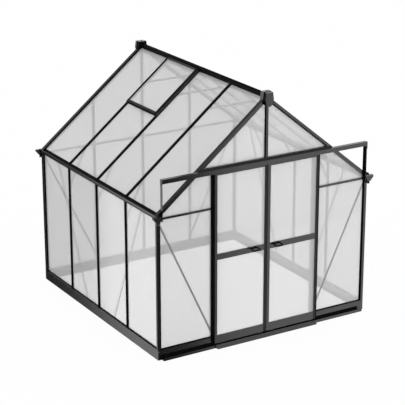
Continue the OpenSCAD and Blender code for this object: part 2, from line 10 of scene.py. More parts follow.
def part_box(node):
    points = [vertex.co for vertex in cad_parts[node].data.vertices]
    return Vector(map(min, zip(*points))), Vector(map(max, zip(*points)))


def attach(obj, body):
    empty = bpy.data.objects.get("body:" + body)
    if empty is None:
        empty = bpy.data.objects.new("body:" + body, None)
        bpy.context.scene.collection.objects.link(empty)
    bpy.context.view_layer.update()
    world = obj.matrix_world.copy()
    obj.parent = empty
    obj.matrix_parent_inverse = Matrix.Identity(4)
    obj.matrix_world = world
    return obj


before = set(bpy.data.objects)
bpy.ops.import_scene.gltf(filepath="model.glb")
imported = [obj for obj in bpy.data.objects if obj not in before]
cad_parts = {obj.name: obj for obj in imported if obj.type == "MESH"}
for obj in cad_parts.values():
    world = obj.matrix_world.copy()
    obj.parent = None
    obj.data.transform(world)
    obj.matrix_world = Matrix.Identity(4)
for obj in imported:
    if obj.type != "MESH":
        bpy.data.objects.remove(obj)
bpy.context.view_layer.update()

bl_info = {
    "name": "Polycarbonate greenhouse",
    "version": (1, 0, 0),
    "blender": (4, 5, 0),
    "location": "View3D > Sidebar > Greenhouse",
    "description": "Finishes, small parts and studio for a walk-in twin-wall greenhouse",
    "category": "Object",
}

X_AXIS = Vector((1, 0, 0))
Y_AXIS = Vector((0, 1, 0))
Z_AXIS = Vector((0, 0, 1))
UNTURNED = Matrix.Identity(3)
MM = 0.001
# Points closer together than this are one
SAME_PLACE = 0.01 * MM
# Edge radii of the thin covers, of the strips and of the vent's bulb seal
FINE_EDGE = 0.3 * MM
SOFT_EDGE = 0.8 * MM
BULB_EDGE = 3 * MM
# The least that a strip's width or thickness can be set to
THINNEST = 0.5 * MM
WHITE = (1, 1, 1, 1)


# ---- Colours and node trees ----


def linear(hex_colour):
    """An sRGB hex colour as linear RGBA."""
    channels = [int(hex_colour[i : i + 2], 16) / 255 for i in (1, 3, 5)]
    return tuple(
        c / 12.92 if c <= 0.04045 else ((c + 0.055) / 1.055) ** 2.4 for c in channels
    ) + (1.0,)


def add_node(tree, kind, sockets=None, **settings):
    """Adds one node. Sockets are named or numbered; a value that is another node's output is linked."""
    node = tree.nodes.new(kind)
    for name, value in settings.items():
        setattr(node, name, value)
    for name, value in (sockets or {}).items():
        if isinstance(value, bpy.types.NodeSocket):
            tree.links.new(value, node.inputs[name])
        else:
            node.inputs[name].default_value = value
    return node


def blank_tree(owner):
    """The owner's node tree, emptied."""
    owner.use_nodes = True
    owner.node_tree.nodes.clear()
    return owner.node_tree


def new_material(name, shown):
    """A material, its empty tree and its object coordinates; shown is its colour in the solid view."""
    material = bpy.data.materials.new(name)
    material.diffuse_color = linear(shown)
    tree = blank_tree(material)
    return material, tree, add_node(tree, "ShaderNodeTexCoord").outputs["Object"]


# ---- Materials ----


def clouded(tree, place, size, detail, colour, shade):
    """A colour that drifts into a shade, in soft clouds of a size in metres."""
    cloud = add_node(tree, "ShaderNodeTexNoise", {"Vector": place, "Scale": 1 / size, "Detail": detail})
    return add_node(tree, "ShaderNodeMix", {
        "Factor": cloud.outputs["Fac"], "A": linear(colour), "B": linear(shade),
    }, data_type="RGBA").outputs["Result"]


def grained(tree, place, size, detail, strength):
    """The normals of a grain of a size in metres, 0.2 mm high at full strength."""
    grain = add_node(tree, "ShaderNodeTexNoise", {"Vector": place, "Scale": 1 / size, "Detail": detail})
    return add_node(tree, "ShaderNodeBump", {
        "Height": grain.outputs["Fac"], "Strength": strength, "Distance": 0.2 * MM,
    }).outputs["Normal"]


def powder_coat(name, colour, shade):
    """Extruded aluminium, powder coated: smooth enough to mirror a soft band of the studio, with a faint
    orange peel."""
    material, tree, place = new_material(name, colour)
    body = add_node(tree, "ShaderNodeBsdfPrincipled", {
        "Base Color": clouded(tree, place, 200 * MM, 3.0, colour, shade),
        "Roughness": 0.11, "IOR": 1.5, "Specular IOR Level": 0.9,
        # Orange peel is about 1 mm across; it is drawn at 4 mm so that it shows
        "Normal": grained(tree, place, 4 * MM, 1.0, strength=0.12),
    })
    add_node(tree, "ShaderNodeOutputMaterial", {"Surface": body.outputs["BSDF"]})
    return material


def black_plastic(name, roughness, specular):
    """UV-stable plastic: deep black with a fine grain, as shiny as its mould left it."""
    finish = bpy.context.scene.greenhouse_finishes
    material, tree, place = new_material(name, finish.plastic_colour)
    body = add_node(tree, "ShaderNodeBsdfPrincipled", {
        "Base Color": clouded(tree, place, 33 * MM, 2.0, finish.plastic_colour, finish.plastic_shade),
        "Roughness": roughness, "IOR": 1.49, "Specular IOR Level": specular,
        # The grain is about 0.3 mm; it is drawn at 2 mm so that it shows
        "Normal": grained(tree, place, 2 * MM, 2.0, strength=0.2),
    })
    add_node(tree, "ShaderNodeOutputMaterial", {"Surface": body.outputs["BSDF"]})
    return material


def twin_wall(name, axis):
    """Extruded twin-wall polycarbonate, clear but milky: straight light comes through dimmed, the rest is
    scattered, and the ribs between the walls show as faint even lines across the given axis."""
    finish = bpy.context.scene.greenhouse_finishes
    material, tree, place = new_material(name, finish.glazing_colour)
    material.diffuse_color = linear(finish.glazing_colour)[:3] + (0.5,)
    # Real ribs stand 6 to 10 mm apart; they are drawn at 24 mm so that they show. A wave node's bands are
    # pi / 10 m apart at scale 1
    ribs = add_node(tree, "ShaderNodeTexWave", {
        "Vector": place, "Scale": math.pi / 10 / finish.rib_pitch, "Distortion": 0.0, "Detail": 0.0,
    }, wave_type="BANDS", bands_direction=axis, wave_profile="SIN")
    # The sheet clouds over some 300 mm
    cloud = add_node(tree, "ShaderNodeTexNoise", {"Vector": place, "Scale": 1 / (333 * MM), "Detail": 2.0})
    lines = add_node(tree, "ShaderNodeMapRange", {
        "Value": ribs.outputs["Fac"], "To Min": finish.haze - finish.rib_contrast,
        "To Max": finish.haze + finish.rib_contrast,
    })
    unevenness = 0.01
    haze = add_node(tree, "ShaderNodeMath", {
        0: cloud.outputs["Fac"], 1: unevenness, 2: lines.outputs["Result"],
    }, operation="MULTIPLY_ADD")
    bump = add_node(tree, "ShaderNodeBump", {
        "Height": ribs.outputs["Fac"], "Strength": 0.05, "Distance": 0.5 * MM,
    })
    near = add_node(tree, "ShaderNodeBsdfDiffuse", {"Color": linear(finish.glazing_colour)})
    far = add_node(tree, "ShaderNodeBsdfTranslucent", {"Color": linear(finish.glazing_colour)})
    milk = add_node(tree, "ShaderNodeMixShader", {
        "Fac": finish.scatter_through, 1: near.outputs["BSDF"], 2: far.outputs["BSDF"],
    })
    clear = add_node(tree, "ShaderNodeBsdfTransparent", {"Color": WHITE})
    sheet = add_node(tree, "ShaderNodeMixShader", {
        "Fac": haze.outputs["Value"], 1: clear.outputs["BSDF"], 2: milk.outputs["Shader"],
    })
    shine = add_node(tree, "ShaderNodeBsdfGlossy", {
        "Color": WHITE, "Roughness": 0.03, "Normal": bump.outputs["Normal"],
    })
    # Light does not bend in the drawn sheet, so only the face towards the eye may mirror
    fresnel = add_node(tree, "ShaderNodeFresnel", {"IOR": 1.585})
    away = add_node(tree, "ShaderNodeNewGeometry")
    mirror = add_node(tree, "ShaderNodeMix", {
        "Factor": away.outputs["Backfacing"], "A": fresnel.outputs["Fac"], "B": 0.0,
    }, data_type="FLOAT")
    surface = add_node(tree, "ShaderNodeMixShader", {
        "Fac": mirror.outputs["Result"], 1: sheet.outputs["Shader"], 2: shine.outputs["BSDF"],
    })
    add_node(tree, "ShaderNodeOutputMaterial", {"Surface": surface.outputs["Shader"]})
    return material


def seal_rubber():
    """Extruded EPDM rubber: soot black and dull, with the faint length-wise drag lines of its die."""
    finish = bpy.context.scene.greenhouse_finishes
    material, tree, place = new_material("extruded_epdm_rubber", finish.rubber_colour)
    body = add_node(tree, "ShaderNodeBsdfPrincipled", {
        "Base Color": clouded(tree, place, 83 * MM, 3.0, finish.rubber_colour, finish.rubber_bloom),
        "Roughness": 0.6, "IOR": 1.5, "Specular IOR Level": 0.06,
        # Drag lines are a fraction of a millimetre; they are drawn at 3 mm so that they show
        "Normal": grained(tree, place, 3 * MM, 1.0, strength=0.15),
    })
    add_node(tree, "ShaderNodeOutputMaterial", {"Surface": body.outputs["BSDF"]})
    return material


def plated_steel():
    """Zinc-plated steel fasteners: pale grey metal, rolled and slightly dull."""
    material, tree, place = new_material("zinc_plated_steel", "#9a9c9e")
    # The crystals of the zinc are a fraction of a millimetre; they are drawn at 2.5 mm so that they show
    spangle = 2.5 * MM
    cloud = add_node(tree, "ShaderNodeTexNoise", {"Vector": place, "Scale": 1 / spangle, "Detail": 3.0})
    rough = add_node(tree, "ShaderNodeMapRange", {
        "Value": cloud.outputs["Fac"], "To Min": 0.28, "To Max": 0.42,
    })
    body = add_node(tree, "ShaderNodeBsdfPrincipled", {
        "Base Color": clouded(tree, place, spangle, 3.0, "#8f9194", "#a9abad"),
        "Metallic": 1.0, "Roughness": rough.outputs["Result"],
    })
    add_node(tree, "ShaderNodeOutputMaterial", {"Surface": body.outputs["BSDF"]})
    return material


# ---- Reading the CAD nodes ----


def solids(name):
    """The corner points of each separate solid of a CAD node, ordered by their lowest x, y and z."""
    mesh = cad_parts[name].data
    # Corners that agree to five decimals, 0.01 mm, are one
    keys = [tuple(round(c, 5) for c in v.co) for v in mesh.vertices]
    owner = {}

    def root(key):
        while owner.setdefault(key, key) != key:
            key = owner[key]
        return key

    for face in mesh.polygons:
        first = root(keys[face.vertices[0]])
        for i in face.vertices[1:]:
            owner[root(keys[i])] = first
    groups = {}
    for key in owner:
        groups.setdefault(root(key), []).append(Vector(key))
    return sorted(groups.values(), key=lambda points: [min(p[i] for p in points) for i in range(3)])


def reach(points, turn=UNTURNED):
    """The lowest and highest corner of some points, in turned axes."""
    local = [turn.transposed() @ p for p in points]
    return Vector(map(min, zip(*local))), Vector(map(max, zip(*local)))


def boxes(name, turn=UNTURNED):
    """The lowest and highest corner of each solid of a CAD node, in turned axes."""
    return [reach(points, turn) for points in solids(name)]


def side_of(x):
    """1 on the right of the greenhouse's middle, -1 on its left."""
    return 1 if x > 0 else -1


def outer_x(low, high):
    """The x of an unturned box's side that is further from the greenhouse's middle."""
    return max(low.x, high.x, key=abs)


def slope_axes(side):
    """Axes whose x lies across a roof slope and whose z stands out of it; side is 1 right, -1 left."""
    return Matrix.Rotation(side * bpy.context.scene.greenhouse_seals.roof_pitch, 3, "Y")


def under_rafters(x):
    """Height of the end rafters' underside at x."""
    turn = slope_axes(1)
    low = boxes("gable_rafters", turn)[-1][0]
    normal = turn @ Z_AXIS
    return (low.z - abs(x) * normal.x) / normal.z


def below_caps(height):
    """How far down a slope, at a height over it, the ridge caps end."""
    turn = slope_axes(1)
    start = turn @ Vector((0, 0, height))
    return (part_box("ridge_end_caps")[1].x - start.x) / (turn @ X_AXIS).x


# ---- Shaping ----


def add_bar(start, end, turn=UNTURNED):
    """A plain bar between two opposite corners given in turned axes, its place in its mesh."""
    low, high = reach([Vector(start), Vector(end)])
    bpy.ops.object.select_all(action="DESELECT")
    bpy.ops.mesh.primitive_cube_add(
        size=1.0, location=turn @ ((low + high) / 2), rotation=turn.to_euler(), scale=high - low
    )
    bpy.ops.object.transform_apply()
    return bpy.context.object


def edit(piece, chosen, *steps):
    """Selects a piece's faces for which chosen(face) is true and runs edit-mode steps on them."""
    bpy.ops.object.select_all(action="DESELECT")
    piece.select_set(True)
    bpy.context.view_layer.objects.active = piece
    bpy.ops.object.mode_set(mode="EDIT")
    bpy.ops.mesh.select_mode(type="FACE")
    bpy.ops.mesh.select_all(action="DESELECT")
    mesh = bmesh.from_edit_mesh(piece.data)
    for face in mesh.faces:
        face.select_set(chosen(face))
    bmesh.update_edit_mesh(piece.data)
    for step in steps:
        step()
    bpy.ops.object.mode_set(mode="OBJECT")


def every_face(face):
    """The choice of a whole piece."""
    return True


def round_edges(piece, radius, segments=2):
    """Bevels every edge of a piece."""
    edit(piece, every_face, lambda: bpy.ops.mesh.bevel(offset=radius, segments=segments, profile=0.5))


def bead(start, end, turn=UNTURNED, radius=SOFT_EDGE):
    """A solid rubber or plastic strip with rounded edges, between two opposite corners."""
    piece = add_bar(start, end, turn)
    round_edges(piece, radius)
    return piece


def gasket(start, end, across, outward, height, lip):
    """An L-shaped seal on a pane beside a profile: its lip lies on the pane and its leg stands against the
    profile. It runs from start to end, where the pane's face meets the profile."""
    seals = bpy.context.scene.greenhouse_seals
    start, end = Vector(start), Vector(end)
    along = (end - start).normalized()
    if across.cross(along).dot(outward) < 0:
        along = -along
        start, end = end, start
    turn = Matrix((across, along, outward)).transposed()
    origin = turn.transposed() @ start
    size = Vector((lip, (end - start).length, seals.lip_thickness))
    piece = add_bar(origin, origin + size, turn)
    step = start + across * seals.leg_thickness
    edit(piece, every_face, lambda: bpy.ops.mesh.bisect(plane_co=step, plane_no=across))
    top = start.dot(outward) + seals.lip_thickness

    def under_leg(face):
        centre = face.calc_center_median()
        return centre.dot(outward) > top - SAME_PLACE and (centre - step).dot(across) < 0

    rise = outward * (height - seals.lip_thickness)
    edit(piece, under_leg, lambda: bpy.ops.mesh.extrude_region_move(TRANSFORM_OT_translate={"value": rise}))
    return piece


def skin(name, chosen, cuts=()):
    """A thin cover on the chosen faces of a CAD node. Each cut is a place and a direction: what lies behind
    it is left off."""
    thickness = bpy.context.scene.greenhouse_seals.skin_thickness
    piece = bpy.data.objects.new(name + "_cover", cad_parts[name].data.copy())
    bpy.context.scene.collection.objects.link(piece)
    edit(
        piece, lambda face: not chosen(face),
        lambda: bpy.ops.mesh.delete(type="FACE"),
        lambda: bpy.ops.mesh.select_all(action="SELECT"),
        lambda: bpy.ops.mesh.remove_doubles(threshold=SAME_PLACE),
    )
    for place, direction in cuts:
        edit(piece, every_face, lambda: bpy.ops.mesh.bisect(
            plane_co=place, plane_no=direction, clear_inner=True
        ))
    cover = piece.modifiers.new("cover", "SOLIDIFY")
    cover.thickness = thickness
    cover.offset = 1.0
    cover.use_even_offset = True
    bpy.ops.object.modifier_apply(modifier=cover.name)
    return piece


def bolt(place, axis, width):
    """A hexagon head with rounded corners on a round washer, standing out of a surface along an axis."""
    turn = axis.to_track_quat("Z", "Y").to_euler()
    washer = {"vertices": 16, "radius": width * 0.8, "depth": width * 0.15}
    head = {"vertices": 6, "radius": width * 0.58, "depth": width * 0.5}
    parts = []
    for shape, base in ((washer, 0), (head, washer["depth"])):
        bpy.ops.object.select_all(action="DESELECT")
        bpy.ops.mesh.primitive_cylinder_add(
            **shape, rotation=turn, location=Vector(place) + axis * (base + shape["depth"] / 2)
        )
        bpy.ops.object.transform_apply()
        round_edges(bpy.context.object, width * 0.05, 1)
        parts.append(bpy.context.object)
    return parts


def gather(name, pieces, material, slot, body="greenhouse"):
    """Joins pieces into one, finishes it and lets it ride on a body."""
    bpy.ops.object.select_all(action="DESELECT")
    for piece in pieces:
        piece.select_set(True)
    bpy.context.view_layer.objects.active = pieces[0]
    bpy.ops.object.join()
    piece = bpy.context.object
    piece.name = piece.data.name = name
    put_on(piece, bpy.data.materials[material])
    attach(piece, body)
    return piece


# ---- Seals, covers and fasteners ----


# Material and export slot
RUBBER = ("extruded_epdm_rubber", "black_plastic")
# The black strips that paint shade on the door stiles
SHADE_STRIP = ("extruded_pvc_trim", "black_plastic")
PAINT = ("powder_coated_aluminium", "dark_frame")
STEEL = ("zinc_plated_steel", "dark_frame")


class GREENHOUSE_OT_side_seals(bpy.types.Operator):
    """Add the seals and caps of the two side walls"""

    bl_idname = "greenhouse.side_seals"
    bl_label = "Side wall seals"

    def execute(self, context):
        seals = context.scene.greenhouse_seals
        base_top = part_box("base_sides")[1].z
        for side, label in ((-1, "left"), (1, "right")):
            outward = X_AXIS * side
            pane_x = side * max(abs(c.x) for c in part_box(label + "_wall_panels"))
            posts = [box for box in boxes("side_wall_posts") if box[0].x * side > 0]
            corners = [box for box in boxes("corner_posts") if box[0].x * side > 0]
            post_x = outer_x(*posts[0])
            height = abs(post_x - pane_x)
            top = posts[0][1].z
            pieces = []
            edges = [(low.y, -Y_AXIS) for low, high in posts] + [(high.y, Y_AXIS) for low, high in posts]
            for low, high in corners:
                edges.append((high.y, Y_AXIS) if low.y < 0 else (low.y, -Y_AXIS))
            for y, across in edges:
                pieces.append(gasket(
                    (pane_x, y, base_top), (pane_x, y, top), across, outward, height, seals.post_lip
                ))
            for low, high in posts:
                pieces.append(bead(
                    (post_x, low.y - seals.leg_thickness, base_top),
                    (post_x + side * seals.skin_thickness, high.y + seals.leg_thickness, top),
                ))
            bays = sorted(y for y, across in edges)
            for y0, y1 in zip(bays[::2], bays[1::2]):
                pieces.append(gasket(
                    (pane_x, y0, base_top), (pane_x, y1, base_top), Z_AXIS, outward, height, seals.base_lip
                ))
            for low, high in corners:
                x = outer_x(low, high)
                y, width = (low.y, seals.bead_width) if low.y < 0 else (high.y, -seals.bead_width)
                pieces.append(bead((x, y, base_top), (x + side * seals.bead_thickness, y + width, top)))
            gather(label + "_wall_seals", pieces, *RUBBER)
        return {"FINISHED"}


class GREENHOUSE_OT_end_seals(bpy.types.Operator):
    """Add the seals of the front and back walls"""

    bl_idname = "greenhouse.end_seals"
    bl_label = "End wall seals"

    def execute(self, context):
        seals = context.scene.greenhouse_seals
        base_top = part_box("base_sides")[1].z
        jambs = boxes("door_jambs")
        for label, face in (("front", -1), ("back", 1)):
            pane_y = face * max(abs(c.y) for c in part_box(label + "_wall_panels"))
            frame_y = face * max(abs(c.y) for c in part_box("door_jambs" if face < 0 else "gable_rafters"))
            pieces = []

            def seal(x0, z0, x1, z1, across, profile_y, lip):
                """Adds a gasket on this wall's panes."""
                start, end = (x0, pane_y, z0), (x1, pane_y, z1)
                pieces.append(gasket(start, end, across, Y_AXIS * face, abs(profile_y - pane_y), lip))

            bays = []
            for low, high in boxes("corner_posts"):
                if low.y * face > 0:
                    x = min(low.x, high.x, key=abs)
                    bays.append(x)
                    inward = X_AXIS * -side_of(x)
                    seal(x, base_top, x, under_rafters(x), inward, frame_y, seals.corner_lip)
            posts = boxes("gable_post" if face < 0 else "back_wall_posts")
            for low, high in jambs if face < 0 else posts:
                bays += [low.x, high.x]
            bays.sort()
            for x0, x1 in zip(bays[::2], bays[1::2]):
                doorway = face < 0 and x0 < 0 < x1
                if not doorway:
                    seal(x0, base_top, x1, base_top, Z_AXIS, frame_y, seals.base_lip)
            right_lip = seals.corner_lip if face < 0 else seals.gable_lip
            for low, high in posts:
                post_y = low.y if face < 0 else high.y
                for x, across, lip in ((low.x, -X_AXIS, seals.gable_lip), (high.x, X_AXIS, right_lip)):
                    seal(x, low.z, x, under_rafters(x), across, post_y, lip)
            # Each door jamb gets a black cover on its outer side and a black bead on its front: partly a
            # weather seal, partly painted shade of the recess beside the leaves
            if face < 0:
                for low, high in jambs:
                    x = outer_x(low, high)
                    cover_x = x + side_of(x) * seals.skin_thickness
                    bead_x = x - side_of(x) * seals.bead_width
                    pieces += [
                        bead((x, frame_y, base_top), (cover_x, pane_y, high.z), radius=FINE_EDGE),
                        bead((bead_x, frame_y - seals.bead_thickness, base_top), (x, frame_y, high.z)),
                    ]
            gather(label + "_wall_seals", pieces, *RUBBER)
        return {"FINISHED"}


class GREENHOUSE_OT_roof_seals(bpy.types.Operator):
    """Add the seals beside the roof bars and along the rafters"""

    bl_idname = "greenhouse.roof_seals"
    bl_label = "Roof seals"

    def execute(self, context):
        seals = context.scene.greenhouse_seals
        for side, label in ((-1, "left"), (1, "right")):
            turn = slope_axes(side)
            pane_z = max(high.z for low, high in boxes(label + "_roof_panels", turn))
            edges = []
            for low, high in boxes(label + "_roof_bars", turn):
                edges.append((low, high, low.y, -Y_AXIS, seals.roof_lip))
                edges.append((low, high, high.y, Y_AXIS, seals.roof_lip))
            rafters = [points for points in solids("gable_rafters") if points[0].x * side > 0]
            for low, high in [reach(points, turn) for points in rafters]:
                y, across = (high.y, Y_AXIS) if high.y < 0 else (low.y, -Y_AXIS)
                edges.append((low, high, y, across, seals.verge_lip))
            pieces = [
                gasket(
                    turn @ Vector((low.x, y, pane_z)), turn @ Vector((high.x, y, pane_z)),
                    across, turn @ Z_AXIS, high.z - pane_z, lip,
                )
                for low, high, y, across, lip in edges
            ]
            gather(label + "_roof_seals", pieces, *RUBBER)
        return {"FINISHED"}


class GREENHOUSE_OT_rafter_covers(bpy.types.Operator):
    """Add the cover strips that close the end rafters' glazing channels, and a black strip that paints a
    shadow line under the right front rafter
    """

    bl_idname = "greenhouse.rafter_covers"
    bl_label = "Rafter covers"

    def execute(self, context):
        seals = context.scene.greenhouse_seals
        covers = []
        for solid in solids("gable_rafters"):
            side = side_of(solid[0].x)
            turn = slope_axes(side)
            low, high = reach(solid, turn)
            eave = high.x if side > 0 else low.x
            covers.append(add_bar(
                (side * below_caps(high.z), low.y, high.z),
                (eave, high.y, high.z + seals.cover_height), turn,
            ))
            round_edges(covers[-1], seals.bead_thickness / 2)
        gather("rafter_covers", covers, *PAINT)
        # A black strip along the lower edge of the right front rafter, up to the gable pane's end: a
        # painted shadow line, which the left rafter does not get
        turn = slope_axes(1)
        rafters = [points for points in solids("gable_rafters") if points[0].x > 0 and points[0].y < 0]
        low, high = reach(rafters[0], turn)
        header_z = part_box("door_header")[0].z
        gable = [p for points in solids("front_wall_panels") for p in points if p.z > header_z]
        pane_end = turn.transposed() @ max(gable, key=lambda p: p.x)
        strip = bead(
            (below_caps(high.z), low.y - seals.bead_thickness, low.z),
            (pane_end.x, low.y, low.z + seals.shadow_line_width), turn,
        )
        gather("right_rafter_shadow_line", [strip], *RUBBER)
        return {"FINISHED"}


class GREENHOUSE_OT_ridge_and_gutters(bpy.types.Operator):
    """Add the rubber cover of the ridge, the seals of the roof's lower edges with painted shade in the
    gutters' troughs, and black skins that paint shade on the ridge caps
    """

    bl_idname = "greenhouse.ridge_and_gutters"
    bl_label = "Ridge and gutter seals"

    def execute(self, context):
        roof_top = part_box("left_roof_panels")[1]
        front_cap, back_cap = boxes("ridge_end_caps")
        gather("ridge_cover", [skin(
            "ridge_beam", lambda face: abs(face.normal.y) < 0.5 and face.normal.z > -0.5,
            [(roof_top, Z_AXIS), (front_cap[1], Y_AXIS), (back_cap[0], -Y_AXIS)],
        )], *RUBBER)
        pane_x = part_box("right_roof_panels")[1].x
        gutter_rim = 5 * MM
        rim_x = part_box("gutters")[1].x - gutter_rim

        def trough(face):
            """The gutters' upper faces inside the rim, and their outward ones past the panes' ends. On the
            panes' ends the black is the eave seal; down the inner wall and over the trough's floor it is
            painted shade.
            """
            centre = face.calc_center_median()
            over_panes = face.normal.z > 0.5 and centre.z > roof_top.z / 2 and abs(centre.x) < rim_x
            beside_beam = face.normal.x * centre.x > 0 and pane_x < abs(centre.x) < rim_x
            return abs(face.normal.y) < 0.5 and (over_panes or beside_beam)

        gather("eave_seals_and_trough_shade", [skin("gutters", trough)], *RUBBER)
        plate_depth = 38 * MM
        front_plate = front_cap[0].y + plate_depth
        back_plate = back_cap[1].y - plate_depth

        def shaded_faces(face):
            """The sides of the front cap's plate, and of the back cap but for its plate's left one. The
            black there is painted shade; the left one is left bare so that it mirrors the studio's light.
            """
            y = face.calc_center_median().y
            if y < 0:
                return abs(face.normal.x) > 0.7 and abs(face.normal.y) < 0.1 and y < front_plate
            plate_side = face.normal.x < -0.7 and y > back_plate
            return face.normal.y < 0.5 and abs(face.normal.z) < 0.5 and not plate_side

        gather("ridge_cap_painted_shade", [skin("ridge_end_caps", shaded_faces)], *RUBBER)
        return {"FINISHED"}


class GREENHOUSE_OT_vent_trim(bpy.types.Operator):
    """Add the roof vent's covers, flanges, bulb seal and stay. The black covers and seals are partly rubber
    seals and partly painted shade in the gaps round the vent.
    """

    bl_idname = "greenhouse.vent_trim"
    bl_label = "Vent trim"

    def execute(self, context):
        seals = context.scene.greenhouse_seals
        turn = slope_axes(-1)
        front, back = boxes("vent_side_bars", turn)
        bottom = boxes("vent_cross_bars", turn)[0]
        pane = boxes("vent_panel", turn)[0]
        slope = turn @ Z_AXIS
        middle = (front[0].y + back[1].y) / 2
        # The black on the bars' tops, the back bar's inner face and round the lower bar is partly a rubber
        # seal and partly painted shade in the gaps round the vent
        cover = skin("vent_side_bars", lambda face: face.normal.dot(slope) > 0.5 or (
            face.calc_center_median().y > middle and face.normal.y < -0.5
        ))
        flange_top = bead(
            (front[0].x, front[0].y - seals.vent_flange, front[1].z),
            (front[1].x, front[0].y, front[1].z + seals.skin_thickness), turn, FINE_EDGE,
        )
        lip = bead(
            (bottom[1].x, back[0].y - seals.vent_lip, pane[1].z),
            (pane[1].x, back[0].y, pane[1].z + seals.bead_thickness), turn,
        )
        bulb = bead(
            (bottom[0].x - seals.bulb_width, front[0].y, bottom[0].z + seals.bead_thickness),
            (bottom[0].x, back[1].y, bottom[1].z - seals.bead_thickness), turn, BULB_EDGE,
        )
        edge = bead(
            (bottom[0].x, front[0].y, bottom[1].z),
            (bottom[0].x + seals.vent_edge, back[1].y, bottom[1].z + seals.skin_thickness), turn, FINE_EDGE,
        )
        gather("vent_seals_and_gap_shade", [cover, flange_top, lip, bulb, edge], *RUBBER)
        flange = add_bar(
            (bottom[1].x, front[1].y, pane[1].z),
            (bottom[1].x + seals.flange_width, back[0].y, bottom[1].z), turn,
        )
        side = add_bar(
            (front[0].x, front[0].y - seals.vent_flange, front[0].z),
            (front[1].x, front[0].y, front[1].z), turn,
        )
        for piece in (flange, side):
            round_edges(piece, SOFT_EDGE)
        gather("vent_flanges", [flange, side], *PAINT)
        gather("vent_stay", vent_stay(turn, bottom, middle), *PAINT)
        return {"FINISHED"}


def vent_stay(turn, bottom, middle):
    """The peg stay under the vent's lower bar: a flat bar on a bracket, with bosses at its peg holes."""
    length, width, thickness = 300 * MM, 10 * MM, 4 * MM
    drop, bracket_length = 32 * MM, 24 * MM
    first_peg, peg_spacing, peg_width = 90 * MM, 80 * MM, 6 * MM
    start = Vector((bottom[1].x, middle - length / 2, bottom[0].z - drop))
    bar = add_bar(start, start + Vector((width, length, thickness)), turn)
    round_edges(bar, 1.5 * MM)
    bracket_end = Vector((bpy.context.scene.greenhouse_seals.flange_width, bracket_length, drop))
    bracket = add_bar(start + Z_AXIS * thickness, start + bracket_end, turn)
    round_edges(bracket, 1 * MM)
    pieces = [bar, bracket]
    for i in range(3):
        place = start + Vector((width / 2, first_peg + i * peg_spacing, thickness))
        pieces += bolt(turn @ place, turn @ Z_AXIS, peg_width)
    return pieces


class GREENHOUSE_OT_door_seals(bpy.types.Operator):
    """Add the edge seals of the two sliding leaves, and black strips that paint shade on their right stiles
    """

    bl_idname = "greenhouse.door_seals"
    bl_label = "Door seals and painted shade strips"

    def execute(self, context):
        seals = context.scene.greenhouse_seals
        for side, label in ((-1, "left"), (1, "right")):
            left_stile, right_stile = boxes(label + "_door_stiles")
            low, high = left_stile if side < 0 else right_stile
            edge = outer_x(low, high)
            outer = edge + side * seals.bead_thickness
            inner = edge - side * seals.stile_seal
            pieces = [
                bead((inner, low.y - seals.bead_thickness, low.z), (outer, low.y, high.z)),
                bead((edge, low.y, low.z), (outer, high.y, high.z)),
            ]
            gather(label + "_door_seal", pieces, *RUBBER, label + "_door")
            # Each leaf's right stile gets a thin, less shiny black strip: painted shade on the left leaf's
            # meeting stile and on the right leaf's outer stile
            low, high = right_stile
            right_x = high.x if side < 0 else inner
            trim = bead(
                (low.x, low.y - seals.skin_thickness, low.z), (right_x, low.y, high.z), radius=FINE_EDGE
            )
            gather(label + "_door_trim", [trim], *SHADE_STRIP, label + "_door")
        return {"FINISHED"}


class GREENHOUSE_OT_fasteners(bpy.types.Operator):
    """Add the bolts of the frame and the screws of the door handles"""

    bl_idname = "greenhouse.fasteners"
    bl_label = "Fasteners"

    def execute(self, context):
        width = context.scene.greenhouse_seals.bolt_width
        gather("base_bolts", base_bolts(width * 0.7), *STEEL)
        gather("brace_bolts", brace_bolts(width), *STEEL)
        screw_width, inset, rise = width * 0.6, 14 * MM, 11 * MM
        for label in ("left", "right"):
            low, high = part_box(label + "_door_handle")
            stile_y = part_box(label + "_door_stiles")[0].y
            heads = []
            for x in (low.x + inset, high.x - inset):
                heads += bolt((x, stile_y, high.z + rise), -Y_AXIS, screw_width)
            gather(label + "_handle_screws", heads, *STEEL, label + "_door")
        return {"FINISHED"}


def base_bolts(width):
    """Bolts through both ends of the front and back base channels."""
    low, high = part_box("base_sides")
    front_y, back_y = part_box("base_front")[0].y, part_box("base_back")[1].y
    inset, height = width * 1.5, high.z * 0.8
    heads = []
    for x in (low.x, high.x):
        for y, way in ((front_y, -Y_AXIS), (back_y, Y_AXIS)):
            heads += bolt((x - side_of(x) * inset, y, height), way, width)
    return heads


def brace_bolts(width):
    """Bolts at both ends of the knee braces and collar ties, on the side towards the doors."""
    cut_depth, inset = 20 * MM, width * 1.5
    heads = []
    for name in ("knee_braces", "collar_ties"):
        for solid in solids(name):
            low, high = reach(solid)
            ends = sorted(solid, key=lambda p: p.x)
            for end in (ends[0], ends[-1]):
                corners = [p for p in solid if abs(p.x - end.x) < cut_depth]
                centre = sum(corners, Vector()) / len(corners)
                middle = Vector(((low.x + high.x) / 2, centre.y, (low.z + high.z) / 2))
                place = centre + (middle - centre).normalized() * inset
                heads += bolt((place.x, low.y, place.z), -Y_AXIS, width)
    return heads


# ---- Finishes ----


END_PANES = ("front_wall_panels", "back_wall_panels", "left_door_panels", "right_door_panels")
PLASTIC_NODES = (
    "gutter_outlets", "ridge_end_caps", "left_door_runners", "right_door_runners", "left_door_strip",
)


def put_on(piece, material):
    """Gives a piece its one material."""
    piece.data.materials.clear()
    piece.data.materials.append(material)


